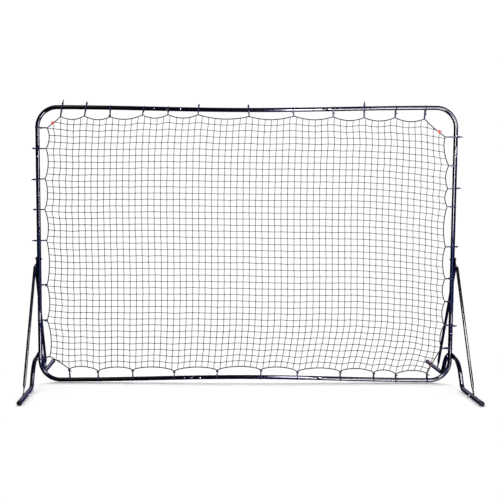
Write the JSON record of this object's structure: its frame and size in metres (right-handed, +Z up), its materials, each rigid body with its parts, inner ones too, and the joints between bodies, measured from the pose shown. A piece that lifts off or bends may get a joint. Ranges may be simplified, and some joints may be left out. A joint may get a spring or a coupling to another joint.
{
  "type": "pitch back rebounder",
  "caption": "Upright rectangular tube frame on bolted folding legs and braces, with a square-mesh rebound net lashed inside it by cable ties.",
  "frame": {"origin": "on the ground under the middle of the frame", "axes": "+Z up, +X along the frame's width, -Y out of the net's front face"},
  "size_m": [2.7986, 1.176, 1.8231],
  "materials": {
    "frame_paint": "gloss black powder coat",
    "leg_paint": "gloss black powder coat",
    "brace_paint": "gloss black powder coat",
    "cap_plastic": "satin moulded black",
    "zinc": "bright zinc plate",
    "net_twine": "black knotted twine, matte",
    "border_cord": "black braided cord with black nylon ties",
    "marker_tape": "red cloth tape"
  },
  "bodies": {
    "frame": {"corner_tube_bottom_left": "frame_paint", "corner_tube_bottom_right": "frame_paint", "corner_tube_top_left": "frame_paint", "corner_tube_top_right": "frame_paint", "rail_tube_bottom": "frame_paint", "rail_tube_top": "frame_paint", "upright_tube_left": "frame_paint", "upright_tube_right": "frame_paint", "rail_screw_inner_bottom_left": "zinc", "rail_screw_inner_bottom_right": "zinc", "rail_screw_inner_top_left": "zinc", "rail_screw_inner_top_right": "zinc", "rail_screw_outer_bottom_left": "zinc", "rail_screw_outer_bottom_right": "zinc", "rail_screw_outer_top_left": "zinc", "rail_screw_outer_top_right": "zinc", "upright_screw_inner_bottom_left": "zinc", "upright_screw_inner_bottom_right": "zinc", "upright_screw_inner_top_left": "zinc", "upright_screw_inner_top_right": "zinc", "upright_screw_outer_bottom_left": "zinc", "upright_screw_outer_bottom_right": "zinc", "upright_screw_outer_top_left": "zinc", "upright_screw_outer_top_right": "zinc", "leg_bolt_left": "zinc", "leg_bolt_right": "zinc", "leg_nut_left": "zinc", "leg_nut_right": "zinc", "brace_bolt_left": "zinc", "brace_bolt_right": "zinc", "brace_nut_left": "zinc", "brace_nut_right": "zinc", "net_panel": "net_twine", "border_lashing": "border_cord", "corner_marker_bottom_left": "marker_tape", "corner_marker_bottom_right": "marker_tape", "corner_marker_top_left": "marker_tape", "corner_marker_top_right": "marker_tape"},
    "leg_front_left": {"leg_tube_front_left": "leg_paint", "foot_cap_front_left": "cap_plastic", "foot_nut_front_left": "zinc"},
    "brace_front_left": {"brace_tube_front_left": "brace_paint", "foot_bolt_front_left": "zinc"},
    "leg_back_left": {"leg_tube_back_left": "leg_paint", "foot_cap_back_left": "cap_plastic", "foot_nut_back_left": "zinc"},
    "brace_back_left": {"brace_tube_back_left": "brace_paint", "foot_bolt_back_left": "zinc"},
    "leg_front_right": {"leg_tube_front_right": "leg_paint", "foot_cap_front_right": "cap_plastic", "foot_nut_front_right": "zinc"},
    "brace_front_right": {"brace_tube_front_right": "brace_paint", "foot_bolt_front_right": "zinc"},
    "leg_back_right": {"leg_tube_back_right": "leg_paint", "foot_cap_back_right": "cap_plastic", "foot_nut_back_right": "zinc"},
    "brace_back_right": {"brace_tube_back_right": "brace_paint", "foot_bolt_back_right": "zinc"}
  },
  "joints": [
    {"name": "leg_fold_front_left", "type": "hinge", "parent": "frame", "child": "leg_front_left", "pos_m": [-1.356, 0, 0.18], "axis": [-1, 0, 0], "range_deg": [0, 60]},
    {"name": "brace_fold_front_left", "type": "hinge", "parent": "frame", "child": "brace_front_left", "pos_m": [-1.356, 0, 0.822], "axis": [-1, 0, 0], "range_deg": [0, 130.5]},
    {"name": "leg_fold_back_left", "type": "hinge", "parent": "frame", "child": "leg_back_left", "pos_m": [-1.356, 0, 0.18], "axis": [1, 0, 0], "range_deg": [0, 60]},
    {"name": "brace_fold_back_left", "type": "hinge", "parent": "frame", "child": "brace_back_left", "pos_m": [-1.356, 0, 0.822], "axis": [1, 0, 0], "range_deg": [0, 130.5]},
    {"name": "leg_fold_front_right", "type": "hinge", "parent": "frame", "child": "leg_front_right", "pos_m": [1.356, 0, 0.18], "axis": [-1, 0, 0], "range_deg": [0, 60]},
    {"name": "brace_fold_front_right", "type": "hinge", "parent": "frame", "child": "brace_front_right", "pos_m": [1.356, 0, 0.822], "axis": [-1, 0, 0], "range_deg": [0, 130.5]},
    {"name": "leg_fold_back_right", "type": "hinge", "parent": "frame", "child": "leg_back_right", "pos_m": [1.356, 0, 0.18], "axis": [1, 0, 0], "range_deg": [0, 60]},
    {"name": "brace_fold_back_right", "type": "hinge", "parent": "frame", "child": "brace_back_right", "pos_m": [1.356, 0, 0.822], "axis": [1, 0, 0], "range_deg": [0, 130.5]}
  ],
  "couplings": [
    {"joint": "brace_fold_front_left", "follows": "leg_fold_front_left", "ratio": 2.1667},
    {"joint": "brace_fold_back_left", "follows": "leg_fold_back_left", "ratio": 2.1667},
    {"joint": "brace_fold_front_right", "follows": "leg_fold_front_right", "ratio": 2.1667},
    {"joint": "brace_fold_back_right", "follows": "leg_fold_back_right", "ratio": 2.1667}
  ]
}
